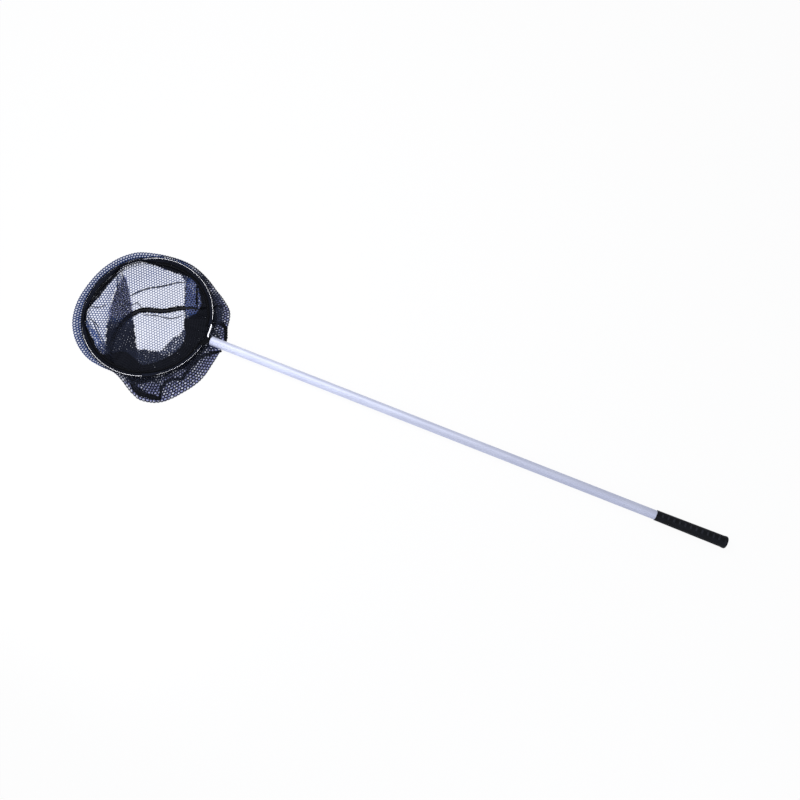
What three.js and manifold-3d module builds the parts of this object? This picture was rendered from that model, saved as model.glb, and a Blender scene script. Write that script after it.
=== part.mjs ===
// Pond net: a wire hoop with a sewn mesh bag on a long tube handle, lying on a flat floor.
// Millimetres, +Z up. The origin lies on the floor under the centre of the hoop, and +X runs
// from the hoop to the grip. The hoop, its legs and the handle share one level plane.

import * as THREE from 'three';
import { mergeVertices } from 'three/addons/utils/BufferGeometryUtils.js';
import Module from 'manifold-3d';

// Driving dimensions
const hoopRadius = 150;            // to the middle of the wire
const wireDiameter = 4;
const legBendRadius = 8;           // inside the bend from hoop to leg
const legSpacing = 4.6;            // between the middles of the two legs
const legDepth = 36;               // of each leg inside the tube

const tubeLength = 1219;
const tubeDiameter = 21;
const tubeWall = 1.2;
const mouthOffset = 13;            // from the middle of the hoop wire to the tube's mouth

const plugRecess = 1;              // of the plug behind the tube's mouth
const plugBack = 18;               // of the plug behind the legs' ends, where the rivet holds it
const rivetShank = 3.2;
const rivetHead = 6.4;
const rivetHeadHeight = 1.3;
const rivetDepth = 5;              // of the shank inside the plug
const rivetEndMargin = 9;          // from the plug's inner end to the rivet

const gripLength = 160;
const gripFrontWall = 0.8;
const gripButtWall = 2.3;
const gripEndThickness = 9;        // of the closed butt behind the tube
const gripEdgeRound = 3.5;
const gripRimLength = 7;
const gripRimHeight = 0.5;
const gripBarCount = 11;
const gripBarPitch = 12.6;
const gripBarWidth = 8;
const gripBarLength = 3.6;
const gripBarHeight = 0.6;

const netThickness = 0.8;          // of one layer of the bag
const hemThickness = 0.7;          // of one layer of the hem
const hemLayerGap = 0.4;
const hemDepth = 16;               // from the wire to the sewn edge of the hem
const hemSlope = 24;               // degrees that the hem hangs below level, towards the middle
const hemOverlap = 4;              // of the hem and the bag where they are sewn
const hemEndFar = 14;              // degrees from the handle to the hem's end, far side
const hemEndNear = 6;              // and on the near side
const stationStep = 11;            // along the wire, between two sections of the bag
const foldHeight = 4.2;            // between the two layers at the bag's outer edge
const foldLanding = 5;             // from the fold to where the bag lies level on the floor
const pressedFoldHeight = 1.4;     // the same where the handle lies on the bag
const pressedAngle = 5;            // degrees beside the handle that stay pressed
const freeAngle = 16;              // degrees beside the handle where the bag is free again

const seamWidth = 7;
const seamHeight = 2.4;
const seamEndFar = 33;             // degrees from the handle to the seam's far end
const seamEndNear = 262;           // and to its near end, round the far side
const seamInset = 14;              // of the seam's ends from the bag's outer edge
const seamWander = 92;             // the most that the seam strays from the line between its ends
const panelGap = 0.4;              // between the two panels under the seam
const seat = 0.3;                  // clearance between pieces that touch

const bagSpread = 64;              // the most that the bag lies beyond the hoop

const meshPitch = 22.5;            // of the plain openings that stand for the netting's small holes
const meshBar = 4;                 // between two openings
const windowX = -28;               // middle of the part of the bottom that lies in a single layer
const windowY = 22;
const windowRadius = 108;
const pleatX = -106;               // point that the pleat in the bottom spreads from
const pleatY = 75;
const pleatHeading = -65;          // degrees from the handle's direction to the pleat's middle
const pleatSpread = 28;            // degrees between the pleat's two edges

// Outer edge of the collapsed bag: degrees from the handle, and reach as a share of the spread
const bagOutline = [
  [0, 0.63], [14, 0.58], [28, 0.61], [37, 0.47], [47, 0.32], [60, 0.26], [80, 0.26], [100, 0.26],
  [114, 0.33], [126, 0.44], [137, 0.46], [155, 0.43], [172, 0.39], [190, 0.42], [207, 0.43], [222, 0.38],
  [240, 0.27], [256, 0.11], [266, 0.06], [274, 0.19], [282, 0.47], [291, 0.83], [302, 1], [320, 0.91],
  [333, 0.84], [345, 0.7],
];

// Course of the seam: share of the way from its far end, and share of its wander, away from the grip
const seamCourse = [
  [0, 0], [0.16, 0.2], [0.29, 0.49], [0.43, 0.67], [0.6, 1], [0.77, 0.91], [0.87, 0.72], [0.94, 0.48], [1, 0],
];

// Worked-out sizes and places
const wireRadius = wireDiameter / 2;
const tubeRadius = tubeDiameter / 2;
const boreRadius = tubeRadius - tubeWall;
const gripBoreRadius = tubeRadius + seat;
const gripFrontRadius = gripBoreRadius + gripFrontWall;
const gripButtRadius = gripBoreRadius + gripButtWall;
const axisHeight = gripButtRadius + gripRimHeight;
const mouthX = hoopRadius + mouthOffset;
const tubeEndX = mouthX + tubeLength;
const gripEndX = tubeEndX + seat + gripEndThickness;
const gripFrontX = gripEndX - gripLength;
const legEndX = mouthX + legDepth;
const plugFrontX = mouthX + plugRecess;
const plugEndX = legEndX + seat + plugBack;
const rivetX = plugEndX - rivetEndMargin;
const radians = THREE.MathUtils.degToRad;

// Materials
const aluminium = new THREE.MeshStandardMaterial({ color: 0xc9cbdc, roughness: 0.38, metalness: 0.85 });
const wire = new THREE.MeshStandardMaterial({ color: 0xd8d9de, roughness: 0.25, metalness: 1 });
const rubber = new THREE.MeshStandardMaterial({ color: 0x1c1f26, roughness: 0.6, metalness: 0 });
const plastic = new THREE.MeshStandardMaterial({ color: 0x17181b, roughness: 0.5, metalness: 0 });
const net = new THREE.MeshStandardMaterial({ color: 0x0c0c13, roughness: 0.85, metalness: 0 });

// Solids

// Joins rings of points, all of one length, into a closed body with both ends capped.
// A ring runs down one side of the section and back up the other.
function loft(rings) {
  const size = rings[0].length;
  const positions = rings.flat().flatMap((point) => point.toArray());
  const faces = [];
  const quad = (a, b, c, d) => faces.push(a, b, c, a, c, d);
  for (let i = 0; i + 1 < rings.length; i += 1) {
    for (let j = 0; j < size; j += 1) {
      const next = (j + 1) % size;
      quad(i * size + j, i * size + next, (i + 1) * size + next, (i + 1) * size + j);
    }
  }
  const last = (rings.length - 1) * size;
  for (let j = 0; j + 1 < size / 2; j += 1) {
    quad(size - 1 - j, size - 2 - j, j + 1, j);
    quad(last + j, last + j + 1, last + size - 2 - j, last + size - 1 - j);
  }
  const geometry = new THREE.BufferGeometry();
  geometry.setAttribute('position', new THREE.Float32BufferAttribute(positions, 3));
  geometry.setIndex(faces);
  return signedVolume(geometry) < 0 ? flipped(geometry) : geometry;
}

function signedVolume(geometry) {
  const index = geometry.index.array;
  const corner = (k) => new THREE.Vector3().fromBufferAttribute(geometry.attributes.position, index[k]);
  let volume = 0;
  for (let k = 0; k < index.length; k += 3) {
    volume += corner(k).dot(corner(k + 1).cross(corner(k + 2))) / 6;
  }
  return volume;
}

function flipped(geometry) {
  geometry.setIndex(Array.from(geometry.index.array).reverse());
  return geometry;
}

// A strip of even thickness along a flat path of points, as a ring for a loft
function stripRing(path, thickness) {
  const side = (sign) => path.map((point, i) => {
    const before = path[Math.max(i - 1, 0)];
    const after = path[Math.min(i + 1, path.length - 1)];
    const along = new THREE.Vector2().subVectors(after, before).normalize();
    return new THREE.Vector2(-along.y, along.x).multiplyScalar(sign * thickness / 2).add(point);
  });
  return [...side(1), ...side(-1).reverse()];
}

// A lathe profile of [distance along X, radius] pairs turned round the handle's axis
function turned(profile, segments) {
  const geometry = new THREE.LatheGeometry(
    profile.map(([x, radius]) => new THREE.Vector2(radius, x)), segments);
  geometry.rotateZ(-Math.PI / 2);
  return geometry.translate(0, 0, axisHeight);
}

const wasm = await Module();
wasm.setup();

function toSolid(geometry) {
  const bare = geometry.clone();
  bare.deleteAttribute('normal');
  bare.deleteAttribute('uv');
  const merged = mergeVertices(bare, 1e-4);
  return new wasm.Manifold(new wasm.Mesh({
    numProp: 3,
    vertProperties: Float32Array.from(merged.attributes.position.array),
    triVerts: Uint32Array.from(merged.index.array),
  }));
}

function toGeometry(solid) {
  const mesh = solid.getMesh();
  const geometry = new THREE.BufferGeometry();
  geometry.setAttribute('position', new THREE.Float32BufferAttribute(mesh.vertProperties, 3));
  geometry.setIndex(Array.from(mesh.triVerts));
  return geometry;
}

function uprightRod(radius, bottom, top, x) {
  const rod = new THREE.CylinderGeometry(radius, radius, top - bottom, 24);
  rod.rotateX(Math.PI / 2);
  return rod.translate(x, 0, (top + bottom) / 2);
}

// Handle
function handleTube() {
  const tube = turned([
    [mouthX, boreRadius], [mouthX, tubeRadius], [tubeEndX, tubeRadius], [tubeEndX, boreRadius],
    [mouthX, boreRadius],
  ], 40);
  const rivetHole = uprightRod(rivetShank / 2 + seat, 0, axisHeight, rivetX);
  return toGeometry(toSolid(tube).subtract(toSolid(rivetHole)));
}

// Radius of the grip's skin at a distance behind its front edge
function gripRadius(behindFront) {
  return THREE.MathUtils.lerp(gripFrontRadius, gripButtRadius, behindFront / gripLength);
}

function grip() {
  const rimStart = gripLength - gripRimLength;
  const rimRadius = gripButtRadius + gripRimHeight;
  const profile = [
    [0, gripBoreRadius], [0, gripFrontRadius - gripFrontWall / 2], [gripFrontWall, gripRadius(gripFrontWall)],
    [rimStart, gripRadius(rimStart)],
    [rimStart + gripRimHeight, rimRadius],
  ];
  const roundSteps = 5;
  for (let i = 0; i <= roundSteps; i += 1) {
    const angle = (i / roundSteps) * Math.PI / 2;
    profile.push([
      gripLength - gripEdgeRound * (1 - Math.sin(angle)),
      rimRadius - gripEdgeRound * (1 - Math.cos(angle)),
    ]);
  }
  profile.push([gripLength, 0], [gripLength - gripEndThickness, 0],
    [gripLength - gripEndThickness, gripBoreRadius], [0, gripBoreRadius]);
  let solid = toSolid(turned(profile, 40).translate(gripFrontX, 0, 0));
  const barMargin = (gripLength - (gripBarCount - 1) * gripBarPitch - gripRimLength) / 2;
  for (let i = 0; i < gripBarCount; i += 1) {
    solid = solid.add(toSolid(gripBar(barMargin + i * gripBarPitch)));
  }
  return toGeometry(solid);
}

// One raised bar across the top of the grip, with round ends
function gripBar(behindFront) {
  const half = gripBarWidth / 2 - gripBarLength / 2;
  const outline = new THREE.Shape();
  outline.absarc(0, half, gripBarLength / 2, 0, Math.PI);
  outline.absarc(0, -half, gripBarLength / 2, Math.PI, 2 * Math.PI);
  const base = (gripBoreRadius + Math.sqrt(gripRadius(behindFront) ** 2 - (gripBarWidth / 2) ** 2)) / 2;
  const top = gripRadius(behindFront) + gripBarHeight;
  const bar = new THREE.ExtrudeGeometry(outline, {
    depth: top - base, bevelEnabled: false, curveSegments: 5,
  });
  return bar.translate(gripFrontX + behindFront, 0, axisHeight + base);
}

// Fixing of the hoop in the tube
function headPlug() {
  const radius = boreRadius - seat;
  const body = turned([
    [plugFrontX, 0], [plugFrontX, radius], [plugEndX, radius], [plugEndX, 0],
  ], 40);
  const slotRadius = wireRadius + seat;
  const outline = new THREE.Shape();
  outline.absarc(legSpacing / 2, 0, slotRadius, -Math.PI / 2, Math.PI / 2);
  outline.absarc(-legSpacing / 2, 0, slotRadius, Math.PI / 2, 1.5 * Math.PI);
  const slotLength = legEndX + seat - plugFrontX;
  const slot = new THREE.ExtrudeGeometry(outline, {
    depth: slotLength + plugRecess, bevelEnabled: false, curveSegments: 10,
  });
  slot.rotateZ(Math.PI / 2).rotateY(Math.PI / 2);
  slot.translate(plugFrontX - plugRecess, 0, axisHeight);
  const holeTop = axisHeight - radius + rivetDepth + seat;
  const hole = uprightRod(rivetShank / 2 + seat, 0, holeTop, rivetX);
  return toGeometry(toSolid(body).subtract(toSolid(slot)).subtract(toSolid(hole)));
}

function plugRivet() {
  const faceZ = axisHeight - tubeRadius - seat;
  const shankTop = axisHeight - boreRadius + seat + rivetDepth;
  const profile = [new THREE.Vector2(0, faceZ - rivetHeadHeight)];
  const domeSteps = 5;
  for (let i = 1; i <= domeSteps; i += 1) {
    const angle = (i / domeSteps) * Math.PI / 2;
    profile.push(new THREE.Vector2(rivetHead / 2 * Math.sin(angle),
      faceZ - rivetHeadHeight * Math.cos(angle)));
  }
  profile.push(new THREE.Vector2(rivetShank / 2, faceZ), new THREE.Vector2(rivetShank / 2, shankTop),
    new THREE.Vector2(0, shankTop));
  const rivet = new THREE.LatheGeometry(profile, 24);
  rivet.rotateX(Math.PI / 2);
  return rivet.translate(rivetX, 0, 0);
}

// Middle line of the wire, as points with the direction that runs along it: one leg, the bend,
// the hoop, the other bend and the other leg
function wireLine() {
  const legY = legSpacing / 2;
  const bendRadius = legBendRadius + wireRadius;
  const bendY = legY + bendRadius;
  const bendX = Math.sqrt((hoopRadius + bendRadius) ** 2 - bendY ** 2);
  const hoopStart = Math.atan2(bendY, bendX);
  const line = [[legEndX, legY, Math.PI]];
  const bendSteps = 6;
  for (let i = 0; i <= bendSteps; i += 1) {
    const turn = (i / bendSteps) * (Math.PI / 2 - hoopStart);
    const angle = -Math.PI / 2 - turn;
    line.push([bendX + bendRadius * Math.cos(angle), bendY + bendRadius * Math.sin(angle),
      Math.PI - turn]);
  }
  const hoopSteps = 96;
  for (let i = 1; i < hoopSteps; i += 1) {
    const angle = THREE.MathUtils.lerp(hoopStart, 2 * Math.PI - hoopStart, i / hoopSteps);
    line.push([hoopRadius * Math.cos(angle), hoopRadius * Math.sin(angle), angle + Math.PI / 2]);
  }
  const otherEnd = line.slice(0, bendSteps + 2).map(([x, y, heading]) => [x, -y, Math.PI - heading]);
  return [...line, ...otherEnd.reverse()];
}

function hoopWire() {
  const sides = 8;
  const rings = wireLine().map(([x, y, heading]) => {
    const across = new THREE.Vector3(-Math.sin(heading), Math.cos(heading), 0);
    return Array.from({ length: sides }, (_, j) => {
      const angle = ((j + 0.5) / sides) * 2 * Math.PI;
      return new THREE.Vector3(x, y, axisHeight + wireRadius * Math.sin(angle))
        .addScaledVector(across, wireRadius * Math.cos(angle));
    });
  });
  return loft(rings);
}

// Bag

// A point at a distance and height in the upright plane that stands at an angle to the handle
function inPlane(angle, point) {
  return new THREE.Vector3(point.x * Math.cos(angle), point.x * Math.sin(angle), point.y);
}

const slope = radians(hemSlope);
const hemAlong = new THREE.Vector2(-Math.cos(slope), -Math.sin(slope));
const hemDown = new THREE.Vector2(Math.sin(slope), -Math.cos(slope));
const hemLayerOffset = (hemThickness + hemLayerGap) / 2;

// A point on the hem's section: a distance from the wire along the hem, and below its middle
function onHem(along, below) {
  return new THREE.Vector2(hoopRadius, axisHeight)
    .addScaledVector(hemAlong, along).addScaledVector(hemDown, below);
}

// The hem's section: one layer in to the wire, round it and out again
function hemPath() {
  const loop = wireRadius + seat + hemThickness / 2;
  const neck = 3 * loop;
  const path = [onHem(hemDepth, hemLayerOffset), onHem(neck, hemLayerOffset)];
  const loopSteps = 6;
  for (let i = 0; i <= loopSteps; i += 1) {
    const angle = radians(THREE.MathUtils.lerp(70, 290, i / loopSteps));
    path.push(onHem(loop * Math.cos(angle), loop * Math.sin(angle)));
  }
  path.push(onHem(neck, -hemLayerOffset), onHem(hemDepth, -hemLayerOffset));
  return path;
}

function hemCasing() {
  const ring = stripRing(hemPath(), hemThickness);
  const steps = 76;
  const start = radians(hemEndFar);
  const end = radians(360 - hemEndNear);
  return loft(Array.from({ length: steps + 1 }, (_, i) => {
    const angle = THREE.MathUtils.lerp(start, end, i / steps);
    return ring.map((point) => inPlane(angle, point));
  }));
}

const outlineCurve = new THREE.CatmullRomCurve3(bagOutline.map(([degrees, reach]) => (
  inPlane(radians(degrees), new THREE.Vector2(hoopRadius + bagSpread * reach, 0)))), true, 'centripetal');
const outlineSamples = outlineCurve.getPoints(720)
  .map((point) => ({ angle: (Math.atan2(point.y, point.x) + 2 * Math.PI) % (2 * Math.PI),
    radius: Math.hypot(point.x, point.y) }))
  .sort((a, b) => a.angle - b.angle);

// Distance from the hoop's centre to the bag's outer edge at an angle
function outerRadius(angle) {
  const turn = ((angle % (2 * Math.PI)) + 2 * Math.PI) % (2 * Math.PI);
  const after = outlineSamples.findIndex((sample) => sample.angle >= turn);
  if (after <= 0) return outlineSamples[0].radius;
  const [low, high] = [outlineSamples[after - 1], outlineSamples[after]];
  return THREE.MathUtils.mapLinear(turn, low.angle, high.angle, low.radius, high.radius);
}

// Middle line of the seam on the floor, which swings across the bag where the netting has slid
function seamLine() {
  const end = (angle) => inPlane(angle, new THREE.Vector2(outerRadius(angle) - seamInset, 0));
  const farEnd = end(radians(seamEndFar));
  const nearEnd = end(radians(seamEndNear));
  const chord = nearEnd.clone().sub(farEnd);
  const sideways = new THREE.Vector3(chord.y, -chord.x, 0).setLength(seamWander);
  return new THREE.CatmullRomCurve3(seamCourse.map(([part, share]) => (
    farEnd.clone().lerp(nearEnd, part).addScaledVector(sideways, share))));
}

const seamCurve = seamLine();

// How far the handle presses the bag down at an angle, from 0 to 1
function pressed(angle) {
  const fromHandle = THREE.MathUtils.radToDeg(Math.acos(Math.cos(angle)));
  return 1 - THREE.MathUtils.smoothstep(fromHandle, pressedAngle, freeAngle);
}

// The bag's section at an angle: from the sewn edge under the hem out to the outer edge, round the
// fold and back in on the floor
function bagPath(angle) {
  const low = netThickness / 2;
  const start = onHem(hemDepth - hemOverlap, hemLayerOffset + hemThickness / 2 + seat + low);
  const rise = THREE.MathUtils.lerp(foldHeight, pressedFoldHeight, pressed(angle));
  const outer = outerRadius(angle) - netThickness / 2;
  const fold = rise / 2;
  const shoulder = Math.min(hoopRadius, outer - 2 * fold);
  const path = [start];
  const layerSteps = 3;
  for (let i = 1; i <= layerSteps; i += 1) {
    const part = i / layerSteps;
    path.push(new THREE.Vector2(
      THREE.MathUtils.lerp(start.x, shoulder, part),
      THREE.MathUtils.lerp(start.y, low + rise, THREE.MathUtils.smoothstep(part, 0, 1))));
  }
  const foldSteps = 4;
  for (let i = 0; i <= foldSteps; i += 1) {
    const turn = THREE.MathUtils.lerp(Math.PI / 2, -Math.PI / 2, i / foldSteps);
    path.push(new THREE.Vector2(outer - fold + fold * Math.cos(turn), low + fold + fold * Math.sin(turn)));
  }
  path.push(new THREE.Vector2(outer - fold - foldLanding, low));
  return path;
}

// Whether an opening of the grid lies whole in the single layer, clear of the pleat and the seam
function isOpen(x, y) {
  const halfDiagonal = (meshPitch - meshBar) * Math.SQRT1_2;
  const fromPleat = THREE.MathUtils.radToDeg(Math.atan2(y - pleatY, x - pleatX)) - pleatHeading;
  const fromSeam = Math.min(...seamCurve.getPoints(160).map((point) => Math.hypot(x - point.x, y - point.y)));
  const inPleat = Math.hypot(x - pleatX, y - pleatY)
    * Math.sin(radians(Math.max(Math.abs(fromPleat) - pleatSpread / 2, 0))) < halfDiagonal;
  return Math.hypot(x - windowX, y - windowY) < windowRadius && !inPleat
    && fromSeam > (meshPitch - meshBar) / 2 + seamWidth / 2 + meshBar;
}

// A square grid of upright openings, as one solid to cut out of the bag's bottom. Two bars of the
// grid cross at the origin.
function openings() {
  const side = meshPitch - meshBar;
  const reach = Math.ceil((windowRadius + Math.hypot(windowX, windowY)) / meshPitch);
  const boxes = [];
  for (let i = -reach; i < reach; i += 1) {
    for (let j = -reach; j < reach; j += 1) {
      const x = (i + 0.5) * meshPitch;
      const y = (j + 0.5) * meshPitch;
      if (isOpen(x, y)) {
        const box = new THREE.BoxGeometry(side, side, 4 * netThickness);
        boxes.push(toSolid(box.translate(x, y, netThickness / 2)));
      }
    }
  }
  return wasm.Manifold.union(boxes);
}

// One sewn panel of the bag, on the side of the seam that sign gives
function bagPanel(sign) {
  const startAngle = radians(seamEndFar);
  const endAngle = radians(sign > 0 ? seamEndNear : seamEndNear - 360);
  const edgeGap = sign * panelGap / 2 / hoopRadius;
  const stations = Math.round(Math.abs(endAngle - startAngle) * hoopRadius / stationStep);
  const floorSteps = 1;
  const rings = Array.from({ length: stations + 1 }, (_, i) => {
    const part = i / stations;
    const angle = THREE.MathUtils.lerp(startAngle + edgeGap, endAngle - edgeGap, part);
    const path = bagPath(angle);
    const ring = stripRing(path, netThickness).map((point) => inPlane(angle, point));
    const outside = ring.slice(0, path.length);
    const inside = ring.slice(path.length);
    const seamPoint = seamCurve.getPointAt(part);
    const along = seamCurve.getTangentAt(part);
    seamPoint.add(new THREE.Vector3(along.y, -along.x, 0).multiplyScalar(sign * panelGap / 2));
    const floorRow = (height) => Array.from({ length: floorSteps }, (__, k) => {
      const point = outside[outside.length - 1].clone().lerp(seamPoint, (k + 1) / floorSteps);
      return point.setZ(height);
    });
    return [...outside, ...floorRow(0), ...floorRow(netThickness).reverse(), ...inside];
  });
  return toGeometry(toSolid(loft(rings)).subtract(openings()));
}

// The sewn ridge along the bottom seam, seated on both panels
function bagSeam() {
  const steps = 40;
  const sides = 8;
  const margin = 0.03;
  const middle = netThickness + seat + seamHeight / 2;
  return loft(Array.from({ length: steps + 1 }, (_, i) => {
    const part = THREE.MathUtils.lerp(margin, 1 - margin, i / steps);
    const centre = seamCurve.getPointAt(part).setZ(middle);
    const along = seamCurve.getTangentAt(part);
    const across = new THREE.Vector3(-along.y, along.x, 0);
    return Array.from({ length: sides }, (__, j) => {
      const angle = ((j + 0.5) / sides) * 2 * Math.PI;
      return centre.clone().addScaledVector(across, seamWidth / 2 * Math.cos(angle))
        .add(new THREE.Vector3(0, 0, seamHeight / 2 * Math.sin(angle)));
    });
  }));
}

// Assembly
const pondNet = new THREE.Group();

function add(name, geometry, material) {
  const mesh = new THREE.Mesh(geometry, material);
  mesh.name = name;
  pondNet.add(mesh);
}

add('handle_tube', handleTube(), aluminium);
add('grip', grip(), rubber);
add('head_plug', headPlug(), plastic);
add('plug_rivet', plugRivet(), aluminium);
add('hoop_wire', hoopWire(), wire);
add('hem_casing', hemCasing(), net);
add('bag_panel_far', bagPanel(1), net);
add('bag_panel_near', bagPanel(-1), net);
add('bag_seam', bagSeam(), net);

export default pondNet;
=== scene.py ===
"""Looks of a pond net that lies on a pale floor: silver tube, black grip, wire hoop and mesh bag.

Places and sizes are in millimetres until a mesh is made. +X runs along the handle from the hoop to
the grip, +Z is up, and the origin is on the floor under the middle of the hoop.
"""

import math

import bpy
import numpy as np
from mathutils import Matrix, Vector


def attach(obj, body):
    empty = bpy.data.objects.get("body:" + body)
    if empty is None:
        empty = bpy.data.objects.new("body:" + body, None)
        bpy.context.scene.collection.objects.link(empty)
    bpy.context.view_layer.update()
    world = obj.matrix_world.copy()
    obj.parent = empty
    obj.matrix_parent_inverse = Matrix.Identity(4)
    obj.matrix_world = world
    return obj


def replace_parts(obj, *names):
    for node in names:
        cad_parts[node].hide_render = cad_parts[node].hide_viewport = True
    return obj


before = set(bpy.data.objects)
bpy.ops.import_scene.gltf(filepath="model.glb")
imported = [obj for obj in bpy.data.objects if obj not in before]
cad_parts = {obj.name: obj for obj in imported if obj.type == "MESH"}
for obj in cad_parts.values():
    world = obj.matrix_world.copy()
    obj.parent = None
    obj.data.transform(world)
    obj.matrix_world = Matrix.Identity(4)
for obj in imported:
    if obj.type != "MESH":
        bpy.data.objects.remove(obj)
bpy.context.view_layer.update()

MM = 0.001

# Sizes that the solids share
HOOP_RADIUS = 150.0
WIRE_RADIUS = 2.0
LEG_BEND_RADIUS = 8.0
LEG_SPACING = 4.6
LEG_DEPTH = 36.0
TUBE_LENGTH = 1219.0
TUBE_RADIUS = 10.5
TUBE_WALL = 1.2
MOUTH_OFFSET = 13.0
SEAT = 0.3
GRIP_LENGTH = 160.0
GRIP_FRONT_WALL = 0.8
GRIP_BUTT_WALL = 2.3
GRIP_END_THICKNESS = 9.0
GRIP_EDGE_ROUND = 3.5
GRIP_RIM_LENGTH = 7.0
GRIP_RIM_HEIGHT = 0.5
BAR_COUNT = 11
BAR_PITCH = 12.6
BAR_WIDTH = 8.0
BAR_LENGTH = 3.6
BAR_HEIGHT = 0.6
BAR_BLEND = 0.5           # half the width of a bar's sloping edge
PARTING_HEIGHT = 0.12
PARTING_WIDTH = 0.45
GRIP_STEP = 0.4           # between the rings of points along the grip
HEM_THICKNESS = 0.7
HEM_LAYER_GAP = 0.4
HEM_DEPTH = 16.0
HEM_SLOPE = 24.0
HEM_END_FAR = 14.0
HEM_END_NEAR = 6.0
SEAM_FAR = 33.0
SEAM_NEAR = 262.0
SEAM_INSET = 14.0
SEAM_WANDER = 92.0
SEAM_WIDTH = 7.0
SEAM_HEIGHT = 2.4
SEAM_WRAP = 2.4           # from one wrap of the thread to the next
NET_THICKNESS = 0.8
BAG_SPREAD = 64.0

# Worked-out sizes and places
GRIP_BORE_RADIUS = TUBE_RADIUS + SEAT
GRIP_FRONT_RADIUS = GRIP_BORE_RADIUS + GRIP_FRONT_WALL
GRIP_BUTT_RADIUS = GRIP_BORE_RADIUS + GRIP_BUTT_WALL
AXIS_HEIGHT = GRIP_BUTT_RADIUS + GRIP_RIM_HEIGHT
MOUTH_X = HOOP_RADIUS + MOUTH_OFFSET
TUBE_END_X = MOUTH_X + TUBE_LENGTH
GRIP_END_X = TUBE_END_X + SEAT + GRIP_END_THICKNESS
GRIP_FRONT_X = GRIP_END_X - GRIP_LENGTH
LEG_END_X = MOUTH_X + LEG_DEPTH

# Netting. Its meshes are drawn a third larger than real ones, which are no larger than the dots of
# the picture
MESH_PITCH = 6.7          # from the middle of one mesh to the next
SIDE_PITCH = 7.3          # the same on the bag's sides, which slope
STRAND_WIDTH = 2.0
SIDE_STRAND = 2.25
FLOOR_STRAND = 0.95
LEFT_STRAND = 1.7         # in the bottom left of the pleat, where it lies askew
# Layers with UNDER_STRAND are a painted shade: they dim the floor's white seen through the bag
UNDER_STRAND = 3.0        # in layers that only dim what shows through others
WIDEST_STRAND = 0.8       # as a share of the pitch
NARROWEST_HOLE = 0.12     # the same, where meshes are crowded
STRAND_THICKNESS = 0.6
HEM_THREAD = 0.45         # thickness of the strands of the hem
NET_RING = 170.0          # radius at which a ring of netting has its full length
FLOOR_LAYER = 0.4         # height of the bag's bottom
BOTTOM_RADIUS = 150.0     # of the bag's bottom, which the sides go on from
LOWEST = 0.36             # height of a strand's middle where it lies on the floor
SEAM_ALLOWANCE = 4.5      # by which each panel reaches past the seam
PLEAT_APEX = (-106.0, 75.0)
PLEAT_RIGHT = (-54, 18, 60)     # its edge's direction far off, turn at the apex, and fade in mm
PLEAT_LEFT = (-66, -30, 150)
PLEAT_CROWDING = 0.75
PLEAT_STEP = 1.0          # between the layers of the pleat
BUNCH_STEP = 0.35         # between the layers of netting that is drawn together
LEFT_TURN = 19.0          # by which the pleat turned the meshes left of it
PRESS_WIDTHS = (9.0, 24.0)      # half widths where the handle's press is full, and where it ends
PRESS_START = (146.0, 160.0)    # distances along the handle where it starts, and where it is full
PRESS_SHARE = 0.66              # of a layer's height
GATHERS = 41              # in the folded netting, once round the hoop
HEM_NECK = 5.0            # from the wire to where the hem's two sides meet
HEM_PITCH = 3.6           # of the netting over the wire, which is drawn tight
CHEEK_PITCH = 4.2         # of the gathered netting beside the wire
CHEEK_STRAND = 1.7
LINE_STEPS = 64           # for each stop of a line, to measure its length by

# Outer edge of the collapsed bag: degrees from the handle, and reach beyond the hoop as a share
BAG_OUTLINE = [
    (0, 0.63), (14, 0.58), (28, 0.61), (37, 0.47), (47, 0.32), (60, 0.26), (80, 0.26), (100, 0.26),
    (114, 0.33), (126, 0.44), (137, 0.46), (155, 0.43), (172, 0.39), (190, 0.42), (207, 0.43),
    (222, 0.38), (240, 0.27), (256, 0.11), (266, 0.06), (274, 0.19), (282, 0.47), (291, 0.83),
    (302, 1.0), (320, 0.91), (333, 0.84), (345, 0.7),
]

# Course of the seam: share of the way from its far end, and share of its wander
SEAM_COURSE = [
    (0, 0), (0.16, 0.2), (0.29, 0.49), (0.43, 0.67), (0.6, 1), (0.77, 0.91), (0.87, 0.72), (0.94, 0.48),
    (1, 0),
]

# Edges of the layers inside the hoop, in degrees from the handle and millimetres from the middle:
# where the open bottom ends, where a third layer starts, and where the netting lies bunched
WINDOW_EDGE = [
    (0, 84), (16, 80), (33, 80), (45, 83), (55, 91), (66, 103), (72, 119), (83, 127), (98, 126),
    (110, 133), (118, 141), (126, 149), (200, 149), (208, 136), (216, 124), (236, 114), (254, 112),
    (264, 90), (274, 80), (292, 79), (308, 84), (316, 88), (328, 78), (345, 78),
]
MIDDLE_EDGE = [
    (0, 92), (8, 84), (20, 82), (33, 82), (45, 84), (55, 92), (66, 104), (72, 121), (80, 132),
    (90, 149), (248, 149), (264, 90), (274, 81), (292, 80), (308, 87), (318, 100), (340, 104),
    (353, 98),
]
BUNCH_EDGE = [
    (0, 95), (8, 84), (20, 82), (28, 108), (38, 123), (55, 129), (63, 139), (68, 140), (76, 133),
    (88, 128), (100, 129), (115, 138), (126, 150), (143, 150), (150, 138), (160, 132), (180, 131),
    (192, 142), (205, 147), (217, 139), (228, 132), (240, 139), (248, 130), (256, 106), (264, 96),
    (276, 100), (290, 118), (310, 112), (340, 108),
]

# Where the netting comes out from under the hem: at the wire where no fold hangs from it
HEM_EDGE = [(0, 143.4), (116, 143.4), (126, 150), (143, 150), (149, 143.4)]

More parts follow.
